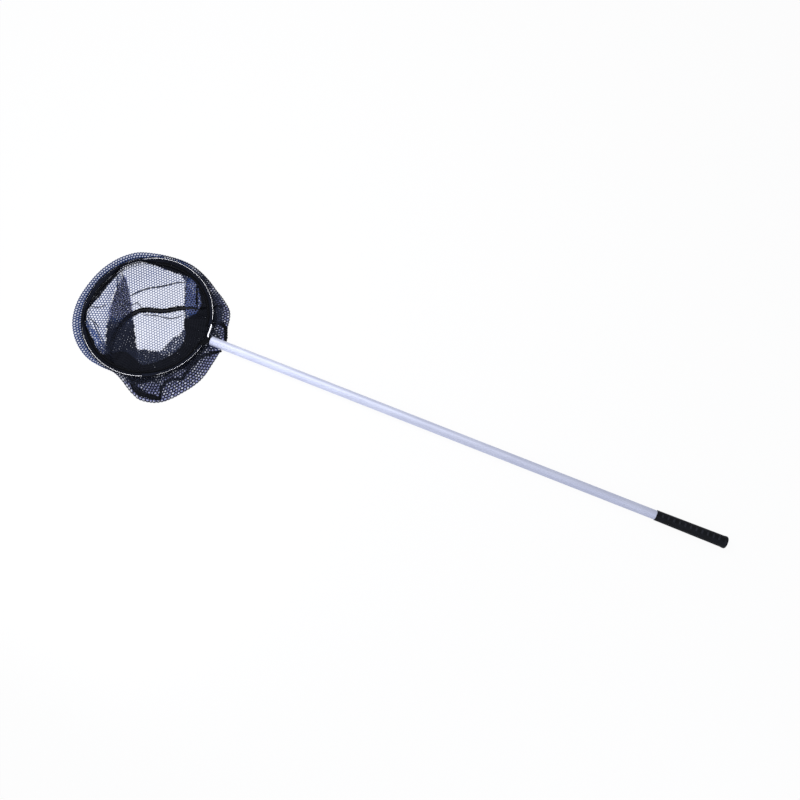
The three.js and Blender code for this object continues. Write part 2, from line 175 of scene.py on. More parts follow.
# Where the folds hidden under the bag's side end, outside the hoop
OUTER_FOLD = [
    (0, 180), (6, 178), (10, 160), (14, 156), (18, 170), (28, 172), (34, 176), (40, 173), (50, 168),
    (60, 165.5), (90, 165), (104, 166), (112, 163), (120, 160), (142, 161), (155, 155), (175, 152),
    (268, 150), (276, 154), (280, 165), (285, 171), (290, 167), (296, 163), (300, 161), (304, 170),
    (307, 160), (310, 153), (313, 165), (316, 166), (319, 152), (326, 152), (330, 163), (338, 161),
    (344, 164), (348, 158), (353, 160), (357, 176),
]

# Where a further layer between the bag's sides starts: only in the lobes on the side of the grip
LOBE_FOLD = [(0, 150), (58, 150), (62, 400), (272, 400), (278, 150)]

# Bands where netting is drawn together: a line of degrees and radii, width, layers and height
DEEP_FOLDS = [
    ([(305, 206), (298, 195), (290, 182), (286, 170), (283, 151)], 12.0, 7, 1.6),
    ([(304, 204), (305.5, 190), (307, 177), (311, 169), (316, 167), (322, 174), (328, 167), (334, 160)],
     7.5, 7, 1.6),
    ([(330, 164), (338, 160), (345, 161), (351, 172), (355, 184), (357, 192)], 8.0, 7, 1.6),
    ([(3, 191), (9, 186), (15, 179), (18, 168), (20, 149)], 8.5, 7, 1.6),
    ([(112, 156), (122, 160.5), (138, 162), (150, 156), (172, 152.5)], 3.4, 5, 2.4),
    ([(34, 113), (45, 116), (55, 126), (63, 138)], 5.0, 6, 1.6),
    ([(331, 150), (330, 163), (325, 174)], 4.0, 5, 1.6),
    ([(8, 154), (20, 155), (36, 154)], 6.0, 6, 2.4),
    ([(320, 153), (335, 155), (351, 154)], 6.0, 6, 2.4),
    ([(281, 155), (290, 157), (303, 154)], 10.0, 8, 2.4),
]

# Gathered netting that hides the wire's near bend and its legs: points, width, layers and height
LEG_COVER = ([(146, -20), (149, -13), (154, -7), (157, -1), (158, 5)], 11.0, 7, 16.2)

# The hem by degrees from the handle: strand width of the netting over the wire as a share of its
# pitch, angle by which the hem leans in under the wire, and its depth as a share of the whole
HEM_COVER = [
    (0, 0.8), (18, 0.8), (20, 0.36), (56, 0.34), (68, 0.26), (128, 0.26), (140, 0.7), (220, 0.67),
    (230, 0.18), (292, 0.18), (294, 0.8), (304, 0.8), (306, 0.45), (340, 0.45), (352, 0.57),
]
HEM_LEAN = [
    (0, 24), (108, 24), (118, 60), (126, 104), (143, 104), (152, 50), (165, 30), (188, 40), (196, 80),
    (208, 80), (218, 40), (230, 24),
]
HEM_REACH = [
    (0, 1), (108, 1), (126, 0.5), (143, 0.5), (160, 1), (190, 0.9), (202, 0.5), (214, 0.9), (230, 1),
]

# Creases in the bag's bottom: a line of points, and its width
CREASES = [
    ([(38, 115), (20, 108), (5, 96), (-14, 82), (-32, 71), (-52, 53), (-68, 32)], 3.2),
    ([(-74, 4), (-60, 9), (-49, 18), (-42, 28)], 2.4),
    ([(-44, 24), (-34, 20), (-26, 15)], 1.8),
    ([(-140, -26), (-122, -22), (-106, -7)], 2.0),
    ([(-128, -54), (-109, -59), (-94, -66)], 2.4),
    ([(-112, -60), (-92, -77), (-63, -97)], 2.2),
    ([(-16, 2), (14, 12), (33, 15), (49, 19), (61, 28), (69, 38)], 2.4),
    ([(-113, 92), (-119, 80), (-127, 56), (-131, 38), (-135, 11)], 2.6),
]

OPEN_GLOW = 0.94          # share of its own white that the floor shows to the camera
SHADED_GLOW = 0.42        # the same under the bag
FLOOR_RADIUS = 9000.0

# Lamps: name, place and target in metres, side in metres, watts and colour
LAMPS = [
    ("head_softbox", (-0.1, 0.3, 1.6), (0.1, 0.0, 0.0), 1.2, 19.8, "#ffffff"),
    ("near_softbox", (1.45, -0.7, 0.8), (1.25, 0.0, 0.0), 0.8, 2.1, "#e6ecff"),
    ("low_softbox", (0.1, -0.55, 0.4), (0.2, 0.0, 0.0), 0.5, 2.1, "#eef1ff"),
]

CAMERA_TARGET = (618.1, 32.6, 13.6)
CAMERA_DISTANCE = 1854.5
CAMERA_AZIMUTH = 16.87
CAMERA_ELEVATION = 70.91
CAMERA_ROLL = 5.35
CAMERA_FOCAL_PIXELS = 820.0
PICTURE_SIDE = 800.0
SENSOR_WIDTH = 36.0


# Materials

def linear(hex_colour):
    """The linear colour of an sRGB hex value such as "#c9cbdc"."""
    channels = np.array([int(hex_colour[i:i + 2], 16) for i in (1, 3, 5)]) / 255
    low = channels / 12.92
    high = ((channels + 0.055) / 1.055) ** 2.4
    return (*np.where(channels <= 0.04045, low, high), 1.0)


def add_node(tree, kind, inputs=None, **settings):
    """Adds a node, sets its settings, and sets or links its inputs."""
    made = tree.nodes.new(kind)
    for name, value in settings.items():
        setattr(made, name, value)
    for name, value in (inputs or {}).items():
        if isinstance(value, bpy.types.NodeSocket):
            tree.links.new(value, made.inputs[name])
        else:
            made.inputs[name].default_value = value
    return made


def new_material(name):
    """An empty node material and its tree."""
    material = bpy.data.materials.new(name)
    material.use_nodes = True
    material.node_tree.nodes.clear()
    return material, material.node_tree


def noise(tree, scale, detail):
    """Noise from 0 to 1 over object coordinates times a scale along each axis, in 1 / metre."""
    place = add_node(tree, "ShaderNodeTexCoord").outputs["Object"]
    scaled = add_node(tree, "ShaderNodeMapping", {"Vector": place, "Scale": scale}).outputs["Vector"]
    made = add_node(tree, "ShaderNodeTexNoise", {"Vector": scaled, "Scale": 1.0, "Detail": detail})
    return made.outputs["Fac"]


def between(tree, factor, low, high):
    """A value that runs from low to high as the factor runs from 0 to 1."""
    made = add_node(tree, "ShaderNodeMapRange", {"Value": factor, "To Min": low, "To Max": high})
    return made.outputs["Result"]


def relief(tree, height, strength, depth):
    """The normal of a skin with a relief whose depth is in millimetres."""
    made = add_node(tree, "ShaderNodeBump", {
        "Height": height, "Strength": strength, "Distance": depth * MM})
    return made.outputs["Normal"]


def attribute(tree, name):
    """The value of an attribute of the mesh."""
    return add_node(tree, "ShaderNodeAttribute", attribute_name=name).outputs["Fac"]


def blended(tree, factor, first, second, blend_type="MIX"):
    """Two colours blended by a factor. A mix node has them in sockets 6 and 7, and the result in 2."""
    made = add_node(tree, "ShaderNodeMix", {0: factor, 6: first, 7: second}, data_type="RGBA",
                    blend_type=blend_type)
    return made.outputs[2]


def ramp_of(tree, factor, stops):
    """A colour ramp between (place, hex colour) stops."""
    ramp = add_node(tree, "ShaderNodeValToRGB", {"Fac": factor})
    elements = ramp.color_ramp.elements
    elements[0].position, elements[0].color = stops[0][0], linear(stops[0][1])
    elements[1].position, elements[1].color = stops[-1][0], linear(stops[-1][1])
    for position, colour in stops[1:-1]:
        elements.new(position).color = linear(colour)
    return ramp.outputs["Color"]


def finish_skin(tree, inputs):
    """Gives the material a principled surface with the given inputs."""
    shader = add_node(tree, "ShaderNodeBsdfPrincipled", inputs)
    add_node(tree, "ShaderNodeOutputMaterial", {"Surface": shader.outputs["BSDF"]})


def anodised_aluminium():
    """Drawn tube with a satin clear anodised skin: pale lavender grey, with faint die lines that
    run along it. Real ones are 0.5 mm apart, and these 2.5 mm, so that the picture can show them."""
    material, tree = new_material("satin_anodised_aluminium")
    lines = noise(tree, (2.0, 400.0, 400.0), 3.0)
    clouds = noise(tree, (14.0, 60.0, 60.0), 2.0)
    finish_skin(tree, {
        "Base Color": ramp_of(tree, clouds, [(0.3, "#c5c9dd"), (0.7, "#cfd3e5")]), "Metallic": 0.4,
        "Roughness": between(tree, lines, 0.53, 0.6), "Normal": relief(tree, lines, 0.05, 0.02)})
    return material


def plated_wire():
    """Steel wire with bright zinc plating: near white, faintly mottled where the plating varies,
    in patches about a millimetre across."""
    material, tree = new_material("bright_zinc_plated_wire")
    mottle = noise(tree, (900.0, 900.0, 900.0), 3.0)
    finish_skin(tree, {
        "Base Color": ramp_of(tree, mottle, [(0.3, "#e9eaf2"), (0.7, "#f8f8fc")]), "Metallic": 1.0,
        "Roughness": between(tree, mottle, 0.2, 0.36)})
    return material


def moulded_rubber():
    """Moulded vinyl rubber: near black with a blue cast, a fine matt grain about 0.5 mm across, dust
    in patches of 14 mm, and paler tops on whatever stands proud, by attribute "raised": worn, and a
    painted highlight."""
    material, tree = new_material("moulded_vinyl_rubber")
    grain = noise(tree, (2000.0, 2000.0, 2000.0), 2.0)
    dust = noise(tree, (70.0, 70.0, 70.0), 4.0)
    skin = ramp_of(tree, dust, [(0.35, "#07080c"), (0.7, "#101219")])
    # Paler #25272f where attribute "raised" is high: worn, and a painted highlight
    finish_skin(tree, {
        "Base Color": blended(tree, attribute(tree, "raised"), skin, linear("#25272f")),
        "Roughness": between(tree, dust, 0.42, 0.6), "Specular IOR Level": 0.15,
        "Normal": relief(tree, grain, 0.25, 0.05)})
    return material


def nylon_net():
    """Dyed knotless nylon netting, near black. Its colour is painted light and shade, by attribute
    "shade": at 0 strands under others are painted hazy violet, a painted light that comes round them,
    near 0.25 single strands are painted navy, a painted light through them, near 0.6 layered ones are
    painted slate, and at 1 strands deep in folds are painted ink black, a painted shade. Its tone
    varies over a few centimetres, and the twist of the filament is 0.4 mm long."""
    material, tree = new_material("knotless_nylon_net")
    patches = noise(tree, (28.0, 28.0, 28.0), 2.0)
    twist = noise(tree, (2500.0, 2500.0, 2500.0), 1.0)
    # Painted light and shade, picked by attribute "shade", over the netting's own near black
    painted_light_and_shade = ramp_of(tree, attribute(tree, "shade"), [
        (0.0, "#888cb6"), (0.25, "#26437c"), (0.4, "#2c375c"), (0.6, "#31374c"), (1.0, "#07080d")])
    fading = ramp_of(tree, patches, [(0.3, "#e2e2e6"), (0.7, "#ffffff")])
    finish_skin(tree, {
        "Base Color": blended(tree, 1.0, painted_light_and_shade, fading, "MULTIPLY"), "Roughness": 0.6,
        "Specular IOR Level": 0.08, "Normal": relief(tree, twist, 0.3, 0.08)})
    return material


def sewing_thread():
    """Black polyester overlock thread: matt, with strands that lie across the ridge 1 mm apart."""
    material, tree = new_material("black_polyester_thread")
    strands = noise(tree, (1000.0, 1000.0, 1000.0), 2.0)
    finish_skin(tree, {
        "Base Color": ramp_of(tree, strands, [(0.3, "#08080c"), (0.7, "#14161e")]), "Roughness": 0.75,
        "Specular IOR Level": 0.25, "Normal": relief(tree, strands, 0.5, 0.2)})
    return material


def moulded_plug_plastic():
    """Moulded nylon plug: black with a satin skin and a spark-eroded grain of about 0.7 mm."""
    material, tree = new_material("moulded_black_nylon")
    grain = noise(tree, (1500.0, 1500.0, 1500.0), 2.0)
    finish_skin(tree, {
        "Base Color": ramp_of(tree, grain, [(0.3, "#121317"), (0.7, "#1b1c21")]), "Roughness": 0.5,
        "Normal": relief(tree, grain, 0.2, 0.05)})
    return material


# Meshes

def add_object(name, data):
    """A new object, linked to the scene."""
    made = bpy.data.objects.new(name, data)
    bpy.context.collection.objects.link(made)
    return made


def make_mesh(name, points, faces, material, attributes):
    """An object from points in millimetres and a list of face arrays, each (count, corners)."""
    mesh = bpy.data.meshes.new(name)
    points = np.asarray(points, dtype=np.float32).reshape(-1, 3) * MM
    corners = np.concatenate([np.asarray(group).ravel() for group in faces]).astype(np.int32)
    sizes = np.concatenate([np.full(len(group), group.shape[1]) for group in faces])
    starts = np.concatenate([[0], np.cumsum(sizes)[:-1]]).astype(np.int32)
    mesh.vertices.add(len(points))
    mesh.vertices.foreach_set("co", points.ravel())
    mesh.loops.add(len(corners))
    mesh.loops.foreach_set("vertex_index", corners)
    mesh.polygons.add(len(sizes))
    mesh.polygons.foreach_set("loop_start", starts)
    mesh.polygons.foreach_set("use_smooth", np.full(len(sizes), True))
    mesh.update(calc_edges=True)
    mesh.validate()
    for key, values in attributes.items():
        layer = mesh.attributes.new(key, "FLOAT", "POINT")
        layer.data.foreach_set("value", np.asarray(values, dtype=np.float32).ravel())
    mesh.materials.append(material)
    return add_object(name, mesh)


def make_piece(name, points, faces, material, attributes=None):
    """A mesh that rides on the part's one body and has a material slot."""
    piece = make_mesh(name, points, faces, material, attributes or {})
    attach(piece, "root")
    return piece


def grid_faces(rows, columns, wrap_rows=False):
    """Four-cornered faces of a rows by columns grid of points whose last column joins its first,
    and its last row too where asked."""
    i, j = np.mgrid[0:rows if wrap_rows else rows - 1, 0:columns]
    next_i, next_j = (i + 1) % rows, (j + 1) % columns
    quads = [i * columns + j, next_i * columns + j, next_i * columns + next_j, i * columns + next_j]
    return np.stack(quads, axis=-1).reshape(-1, 4)


def end_caps(rows, columns):
    """One many-cornered face over each end of a grid that is joined round its columns."""
    first = np.arange(columns)[None, :]
    last = (rows - 1) * columns + np.arange(columns)[None, ::-1]
    return [first, last]


def circle_section(radius, sides):
    """Points of a circle, as offsets across and up."""
    angle = np.arange(sides) * 2 * np.pi / sides
    return radius * np.stack([np.cos(angle), np.sin(angle)], axis=1)


def sweep(name, centres, headings, section, material, slot):
    """Carries a section along a path that heads at the given angles in plan, with flat ends: each
    point is the centre, plus the section's first value across the heading, plus its second value
    upwards. The section is one for the whole path, or one for each of its points."""
    across = np.stack([np.sin(headings), -np.cos(headings), np.zeros_like(headings)], axis=1)
    section = np.broadcast_to(section, (len(centres), *np.shape(section)[-2:]))
    points = (centres[:, None, :] + section[..., :1] * across[:, None, :]
              + section[..., 1:] * np.array([0.0, 0.0, 1.0]))
    rows, sides = section.shape[:2]
    return make_piece(name, points, [grid_faces(rows, sides), *end_caps(rows, sides)], material)


def headings_along(line):
    """Angle in plan at which a line heads at each of its points."""
    steps = np.gradient(line, axis=0)
    return np.arctan2(steps[:, 1], steps[:, 0])


def revolve(distances, radii, segments):
    """Turns a profile round the handle's axis: distance along X, radius from the axis. Radii are one
    for each distance, or one for each distance and segment."""
    turn = np.arange(segments) * 2 * np.pi / segments
    radii = np.broadcast_to(np.asarray(radii).reshape(len(distances), -1), (len(distances), segments))
    x = np.broadcast_to(np.asarray(distances)[:, None], radii.shape)
    return np.stack([x, -radii * np.sin(turn), AXIS_HEIGHT + radii * np.cos(turn)], axis=-1)


def smooth_step(value, low, high):
    """0 below low, 1 above high, and an S-shaped rise between."""
    part = np.clip((value - low) / (high - low), 0, 1)
    return part * part * (3 - 2 * part)


def lengths_along(line):
    """Distance along a line to each of its points."""
    return np.concatenate([[0], np.cumsum(np.linalg.norm(np.diff(line, axis=0), axis=1))])


def points_at(places, lengths, line):
    """Points at the given places on a line, whose own points lie at the given lengths."""
    return np.stack([np.interp(places, lengths, values) for values in line.T], axis=1)


def line_through(points):
    """Points about a millimetre apart along a smooth line through the given ones: cubic between
    them, and at each it has the mean slope of its two sides."""
    chords = lengths_along(points)
    slopes = np.gradient(points, chords, axis=0)
    t = np.linspace(0, chords[-1], LINE_STEPS * len(points))
    k = np.clip(np.searchsorted(chords, t, side="right") - 1, 0, len(chords) - 2)
    span = (chords[k + 1] - chords[k])[:, None]
    s = (t - chords[k])[:, None] / span
    fine = (points[k] * (1 + 2 * s) * (1 - s) ** 2 + slopes[k] * span * s * (1 - s) ** 2
            + points[k + 1] * s * s * (3 - 2 * s) + slopes[k + 1] * span * s * s * (s - 1))
    lengths = lengths_along(fine)
    return points_at(np.linspace(0, lengths[-1], int(lengths[-1]) + 1), lengths, fine)


def ring_between(stops):
    """A function of degrees round the hoop, straight between (degrees, value) stops."""
    degrees, values = np.array(stops, dtype=float).T
    return lambda angle: np.interp(angle, degrees, values, period=360)


def constant_ring(value):
    """A function of degrees that is the same all round."""
    return lambda angle: np.full_like(angle, value)


window_edge = ring_between(WINDOW_EDGE)
middle_edge = ring_between(MIDDLE_EDGE)
bunch_edge = ring_between(BUNCH_EDGE)
outer_fold = ring_between(OUTER_FOLD)
lobe_fold = ring_between(LOBE_FOLD)
hem_edge = ring_between(HEM_EDGE)
hem_lean = ring_between(HEM_LEAN)
hem_cover = ring_between(HEM_COVER)
hem_reach = ring_between(HEM_REACH)


def direction(degrees):
    """Unit vectors in plan."""
    return np.stack([np.cos(np.radians(degrees)), np.sin(np.radians(degrees))], axis=-1)


def outline_curve():
    """Degrees and radii of the bag's outer edge, on a smooth closed line through its stops."""
    degrees, reach = np.array(BAG_OUTLINE + BAG_OUTLINE[:4], dtype=float).T
    line = line_through((HOOP_RADIUS + BAG_SPREAD * reach)[:, None] * direction(degrees))
    angles = np.degrees(np.arctan2(line[:, 1], line[:, 0])) % 360
    order = np.argsort(angles)
    return angles[order], np.hypot(*line.T)[order]


OUTLINE = outline_curve()


def outer_radius(degrees):
    """Distance from the middle of the hoop to the bag's outer edge."""
    return np.interp(degrees, *OUTLINE, period=360)


# Handle

def make_tube(material):
    """Open tube: a ring-shaped section with rounded lips, turned round the axis."""
    lip, segments = 0.35, 96
    inner = TUBE_RADIUS - TUBE_WALL
    turn = np.linspace(0, np.pi / 2, 5)
    corner_x, corner_r = lip * (1 - np.sin(turn)), lip * (1 - np.cos(turn))
    skin = np.linspace(MOUTH_X, TUBE_END_X, 60)[1:-1]
    bore = np.linspace(TUBE_END_X, MOUTH_X, 20)[1:-1]
    distances = np.concatenate([MOUTH_X + corner_x[::-1], skin, TUBE_END_X - corner_x,
                                TUBE_END_X - corner_x[::-1], bore, MOUTH_X + corner_x])
    radii = np.concatenate([
        TUBE_RADIUS - corner_r[::-1], np.full_like(skin, TUBE_RADIUS), TUBE_RADIUS - corner_r,
        inner + corner_r[::-1], np.full_like(bore, inner), inner + corner_r])
    faces = [grid_faces(len(distances), segments, wrap_rows=True)]
    return make_piece("silver_tube", revolve(distances, radii, segments), faces, material)


def grip_profile():
    """Distances along X and radii of the grip, from the middle of the butt's end face along the
    outside to the front edge and back inside to the bottom of the bore."""
    rim_radius = GRIP_BUTT_RADIUS + GRIP_RIM_HEIGHT
    turn = np.linspace(0, np.pi / 2, 9)
    round_x = GRIP_END_X - GRIP_EDGE_ROUND * (1 - np.cos(turn))
    round_r = rim_radius - GRIP_EDGE_ROUND * (1 - np.sin(turn))
    outside = np.arange(GRIP_END_X - GRIP_RIM_LENGTH, GRIP_FRONT_X + 0.6, -GRIP_STEP)
    taper = np.interp(outside, [GRIP_FRONT_X, GRIP_END_X], [GRIP_FRONT_RADIUS, GRIP_BUTT_RADIUS])
    rim = GRIP_RIM_HEIGHT * smooth_step(outside, GRIP_END_X - GRIP_RIM_LENGTH - 0.8,
                                        GRIP_END_X - GRIP_RIM_LENGTH)
    lip_x = GRIP_FRONT_X + np.array([0.3, 0.1, 0.0, 0.0])
    lip_r = GRIP_FRONT_RADIUS - np.array([0.05, 0.15, 0.35, GRIP_FRONT_WALL])
    distances = np.concatenate([[GRIP_END_X, GRIP_END_X], round_x, outside, lip_x,
                                [TUBE_END_X + SEAT, TUBE_END_X + SEAT]])
    radii = np.concatenate([[1.0, 5.0], round_r, taper + rim, lip_r, [GRIP_BORE_RADIUS, 1.0]])
    return distances, radii


def make_grip(material):
    """Tapered sleeve with a closed butt. Raised bars, each a stadium in the plane of distance
    along and round the grip, stand on its top, and a fine parting line runs down each side."""
    segments = 160
    distances, radii = grip_profile()
    turn = np.arange(segments) * 2 * np.pi / segments
    around = (np.mod(turn + np.pi, 2 * np.pi) - np.pi) * GRIP_FRONT_RADIUS
    margin = (GRIP_LENGTH - (BAR_COUNT - 1) * BAR_PITCH - GRIP_RIM_LENGTH) / 2
    behind = distances - GRIP_FRONT_X - margin
    nearest = np.clip(np.round(behind / BAR_PITCH), 0, BAR_COUNT - 1) * BAR_PITCH
    side = np.maximum(np.abs(around) - (BAR_WIDTH - BAR_LENGTH) / 2, 0)
    edge = np.hypot((behind - nearest)[:, None], side[None, :])
    raised = 1 - smooth_step(edge, BAR_LENGTH / 2 - BAR_BLEND, BAR_LENGTH / 2 + BAR_BLEND)
    last_outside = int(np.argmin(distances))
    raised[last_outside:] = 0
    raised[distances > GRIP_END_X - GRIP_RIM_LENGTH] = 0
    side_line = np.exp(-((np.abs(around) - np.pi / 2 * GRIP_FRONT_RADIUS) / PARTING_WIDTH) ** 2)
    skin = (np.arange(len(distances)) < last_outside) & (radii > GRIP_BORE_RADIUS)
    radii = radii[:, None] + BAR_HEIGHT * raised + PARTING_HEIGHT * side_line * skin[:, None]
    points = revolve(distances, radii, segments)
    rim = ((distances > GRIP_END_X - GRIP_RIM_LENGTH) & (distances < GRIP_END_X))[:, None]
    # Paler tops of the bars and the rim: worn, and a painted highlight
    wear_and_highlight = np.maximum(raised * 0.8, 0.25 * rim)
    faces = [grid_faces(len(distances), segments)[:, ::-1]]
    faces += [cap[:, ::-1] for cap in end_caps(len(distances), segments)]
    return make_piece("rubber_grip", points, faces, material,
                      attributes={"raised": wear_and_highlight})


# Hoop

def wire_line():
    """Middle line of the wire and its heading at each point: one leg, a bend, the hoop, the other
    bend and the other leg. The bends touch the hoop's circle and the legs."""
    leg_y = LEG_SPACING / 2
    bend = LEG_BEND_RADIUS + WIRE_RADIUS
    bend_y = leg_y + bend
    bend_x = math.sqrt((HOOP_RADIUS + bend) ** 2 - bend_y ** 2)
    start = math.atan2(bend_y, bend_x)
    leg_x = np.linspace(LEG_END_X, bend_x, 8)[:-1]
    leg = np.stack([leg_x, np.full_like(leg_x, leg_y), np.full_like(leg_x, np.pi)], axis=1)
    turn = np.linspace(0, np.pi / 2 - start, 12)
    curve = np.column_stack([bend_x - bend * np.sin(turn), bend_y - bend * np.cos(turn), np.pi - turn])
    angle = np.linspace(start, 2 * np.pi - start, 360)[1:-1]
    x, y = HOOP_RADIUS * np.cos(angle), HOOP_RADIUS * np.sin(angle)
    hoop = np.column_stack([x, y, angle + np.pi / 2])
    first = np.concatenate([leg, curve])
    second = (first * [1, -1, -1] + [0, 0, np.pi])[::-1]
    line = np.concatenate([first, hoop, second])
    centres = np.column_stack([line[:, :2], np.full(len(line), AXIS_HEIGHT)])
    return centres, line[:, 2]


def make_hoop(material):
    """Round wire carried along its middle line, with flat cut ends."""
    return sweep("wire_hoop", *wire_line(), circle_section(WIRE_RADIUS, 16), material, "hoop_steel")


# Netting

def hexagon_net(extent, place, keep, pitch=MESH_PITCH, strand=STRAND_WIDTH, crowding=None):
    """A sheet of netting with six-sided holes. Cells lie in rows, every other row half a pitch
    along. A hole's corners are its middle plus (cos, sin) of 30, 90, ... degrees times
    (pitch - strand / crowding) / sqrt 3 along u, and (pitch - strand) / sqrt 3 along v. Strands
    are the faces between the sides of two holes, and junctions those between the corners of three.
    place turns (u, v) into a point in millimetres, and keep says which cells are wanted. The
    strand's width is a number, or a function of u and v."""
    (low_u, high_u), (low_v, high_v) = extent
    step = pitch * math.sqrt(0.75)
    rows = int((high_v - low_v) / step) + 2
    columns = int((high_u - low_u) / pitch) + 3
    row, column = np.mgrid[0:rows, 0:columns]
    middle_u = low_u + pitch * (column - 1 + 0.5 * (row % 2))
    middle_v = low_v + step * row
    strand = strand(middle_u, middle_v) if callable(strand) else strand
    strand = np.minimum(strand, WIDEST_STRAND * pitch)
    squeeze = 1.0 if crowding is None else crowding(middle_u, middle_v)
    reach_u = np.maximum(pitch - strand / squeeze, NARROWEST_HOLE * pitch) / math.sqrt(3)
    reach_v = np.broadcast_to((pitch - strand) / math.sqrt(3), middle_u.shape)[..., None]
    angle = np.radians(30 + 60 * np.arange(6))
    u = middle_u[..., None] + np.broadcast_to(reach_u, middle_u.shape)[..., None] * np.cos(angle)
    v = middle_v[..., None] + reach_v * np.sin(angle)
    points = place(u, v)
    wanted = keep(middle_u, middle_v, points.mean(axis=2)).ravel()

    cell = row * columns + column
    here = cell[:-1, 1:-1]
    right = here + 1
    up_right = here + columns + row[:-1, 1:-1] % 2
    up_left = up_right - 1
    with_right = wanted[here] & wanted[right]
    with_up_right = wanted[here] & wanted[up_right]
    with_up_left = wanted[here] & wanted[up_left]

    def faces_of(test, *corners):
        return np.stack([cells[test] * 6 + k for cells, k in corners], axis=-1)

    quads = np.concatenate([
        faces_of(with_right, (here, 5), (right, 3), (right, 2), (here, 0)),
        faces_of(with_up_right, (here, 0), (up_right, 4), (up_right, 3), (here, 1)),
        faces_of(with_up_left, (here, 1), (up_left, 5), (up_left, 4), (here, 2))])
    triangles = np.concatenate([
        faces_of(with_right & with_up_right, (here, 0), (right, 2), (up_right, 4)),
        faces_of(with_up_right & with_up_left, (here, 1), (up_right, 3), (up_left, 5))])
    return points.reshape(-1, 3), quads, triangles


def net_piece(name, nets, node, material, thickness=STRAND_THICKNESS):
    """One piece from pairs of a net and its depth of shade, which is a number or a function of the
    points. Points that no face uses are left out."""
    points = np.concatenate([net[0] for net, shade in nets])
    shades = np.concatenate([shade(net[0]) if callable(shade) else np.full(len(net[0]), shade)
                             for net, shade in nets])
    shifts = np.cumsum([0] + [len(net[0]) for net, shade in nets[:-1]])
    quads, triangles = (np.concatenate([net[kind] + shift for (net, shade), shift in zip(nets, shifts)])
                        for kind in (1, 2))
    used = np.zeros(len(points), dtype=bool)
    used[quads] = True
    used[triangles] = True
    number = np.cumsum(used) - 1
    piece = make_piece(name, points[used], [number[quads], number[triangles]], material,
                       attributes={"shade": shades[used]})
    solid = piece.modifiers.new("strand_thickness", "SOLIDIFY")
    solid.thickness = thickness * MM
    solid.offset = 0.0
    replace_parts(piece, node)
    return piece


def seam_line():
    """Points of the seam on the floor, about a millimetre apart: straight between its two ends,
    plus a wander to the far side."""
    ends = [(outer_radius(angle) - SEAM_INSET) * direction(angle) for angle in (SEAM_FAR, SEAM_NEAR)]
    chord = ends[1] - ends[0]
    sideways = np.array([chord[1], -chord[0]]) / np.linalg.norm(chord)
    parts, shares = np.array(SEAM_COURSE, dtype=float).T
    return line_through(ends[0] + parts[:, None] * chord + SEAM_WANDER * shares[:, None] * sideways)


def far_outline():
    """Corners of an area of the floor on the far side of the seam: the seam, and an arc that lies
    500 mm from the middle of the hoop."""
    arc = [500 * direction(angle) for angle in np.linspace(SEAM_NEAR, SEAM_FAR, 12)]
    return np.concatenate([seam_line()[::4], arc])


def inside(points, corners):
    """Whether each point lies inside the closed outline: it does if a line from it along +X
    crosses the outline an odd number of times."""
    x, y = points[..., 0], points[..., 1]
    crossings = np.zeros(x.shape, dtype=bool)
    for (x0, y0), (x1, y1) in zip(corners, np.roll(corners, -1, axis=0)):
        if y0 != y1:
            crossings ^= ((y0 > y) != (y1 > y)) & (x < x0 + (y - y0) * (x1 - x0) / (y1 - y0))
    return crossings


def distance_to(points, line):
    """Distance in plan from each point to the nearest point of a line."""
    nearest = np.full(points.shape[:-1], np.inf)
    for x, y in line:
        nearest = np.minimum(nearest, np.hypot(points[..., 0] - x, points[..., 1] - y))
    return nearest


def on_side(points, far):
    """Whether each point belongs to a panel, with a seam allowance across the seam, which runs on
    to 240 mm from the middle of the hoop at both ends."""
    edge = np.concatenate([[240 * direction(SEAM_FAR)], seam_line()[::3], [240 * direction(SEAM_NEAR)]])
    run_outs = [np.linspace(edge[0], edge[1], 30), np.linspace(edge[-1], edge[-2], 30)]
    close = distance_to(points, np.concatenate([edge, *run_outs])) < SEAM_ALLOWANCE
    return (inside(points, far_outline()) == far) | close


def polar(points):
    """Degrees and radius of points in plan."""
    x, y = points[..., 0], points[..., 1]
    return np.degrees(np.arctan2(y, x)), np.hypot(x, y)


def turned(u, v, degrees):
    """u and v turned about the origin."""
    turn = math.radians(degrees)
    return u * math.cos(turn) - v * math.sin(turn), u * math.sin(turn) + v * math.cos(turn)


def press_under_handle(points):
    """Lowers the layers where the handle lies on them, so that they stay under the tube."""
    beside = 1 - smooth_step(np.abs(points[..., 1]), *PRESS_WIDTHS)
    press = beside * smooth_step(points[..., 0], *PRESS_START)
    points[..., 2] = np.maximum(points[..., 2] * (1 - PRESS_SHARE * press), LOWEST)
    return points


def soft_ripples(points):
    """Low waves in the bag's bottom, up to 1.2 mm high: two sines, 107 and 132 mm long, whose phases
    waver with two slower ones. They fade out between radii of 110 and 150 mm."""
    x, y = points[..., 0], points[..., 1]
    wave = np.sin(x / 17 + 1.3 * np.sin(y / 31)) + np.sin(y / 21 - 1.1 * np.sin(x / 26) + 1)
    points[..., 2] += 0.3 * (wave + 2) * smooth_step(200 - np.hypot(x, y), 50, 90)
    return points


def about_apex(x, y):
    """Distance from the pleat's apex, and direction from it, from -216 to 144 degrees."""
    x, y = x - PLEAT_APEX[0], y - PLEAT_APEX[1]
    angle = np.degrees(np.arctan2(y, x))
    return np.hypot(x, y), np.where(angle > 144, angle - 360, angle)


def pleat_edges(distance):
    """Directions of the pleat's right and left edges, which bend as they leave the apex."""
    return [far + turn * np.exp(-distance / fade) for far, turn, fade in (PLEAT_RIGHT, PLEAT_LEFT)]


